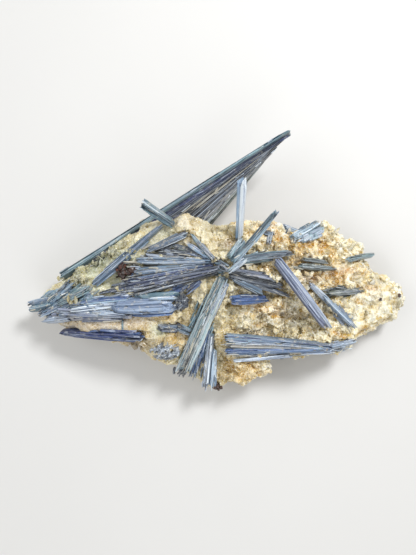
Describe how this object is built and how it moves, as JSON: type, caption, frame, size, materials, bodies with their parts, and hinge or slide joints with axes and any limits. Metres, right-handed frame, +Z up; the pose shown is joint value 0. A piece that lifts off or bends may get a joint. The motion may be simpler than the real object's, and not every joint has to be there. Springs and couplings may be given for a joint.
{
  "type": "kyanite crystal specimen",
  "caption": "Rough lump of granular quartz, lying flat, with long bladed blue crystals that spread from its centre and one tall fan-shaped crystal reaching past its edge.",
  "frame": {"origin": "on the flat underside, under the middle of the pictured view", "axes": "+Z up from the flat underside to the side with the crystals, +X along the lump to its blunt quartz end, +Y towards the edge that the long fan-shaped crystal reaches past"},
  "size_m": [0.3324, 0.2235, 0.0937],
  "materials": {
    "quartz": "granular, sugary and slightly clear, cream to yellow, with rusty stains",
    "kyanite": "glassy to pearly, streaked along the blades, steel blue with navy and blue-white bands",
    "garnet": "dark red-brown, glassy grains"
  },
  "bodies": {
    "root": {"quartz_matrix": "quartz", "upright_prism": "kyanite", "centre_spray": "kyanite", "diagonal_prism": "kyanite", "lower_spray": "kyanite", "left_spray": "kyanite", "left_end_crystals": "kyanite", "left_tip_crystals": "kyanite", "navy_blade": "kyanite", "upper_left_blade": "kyanite", "slanted_blade": "kyanite", "stub_prism": "kyanite", "fan_crystal": "kyanite", "bottom_fan": "kyanite", "bottom_strip": "kyanite", "diagonal_blade": "kyanite", "blade_in_quartz": "kyanite", "top_right_blade": "kyanite", "right_blade_upper": "kyanite", "right_blade_middle": "kyanite", "right_blade_lower": "kyanite", "right_edge_blade": "kyanite", "grey_plate": "kyanite", "lower_left_stubs": "kyanite", "back_blade_left": "kyanite", "back_blade_right": "kyanite", "side_blade_right": "kyanite", "garnet_cluster_left": "garnet", "garnet_cluster_bottom": "garnet", "garnet_right": "garnet", "garnet_flake_left": "garnet", "garnet_flake_right": "garnet"}
  },
  "joints": []
}
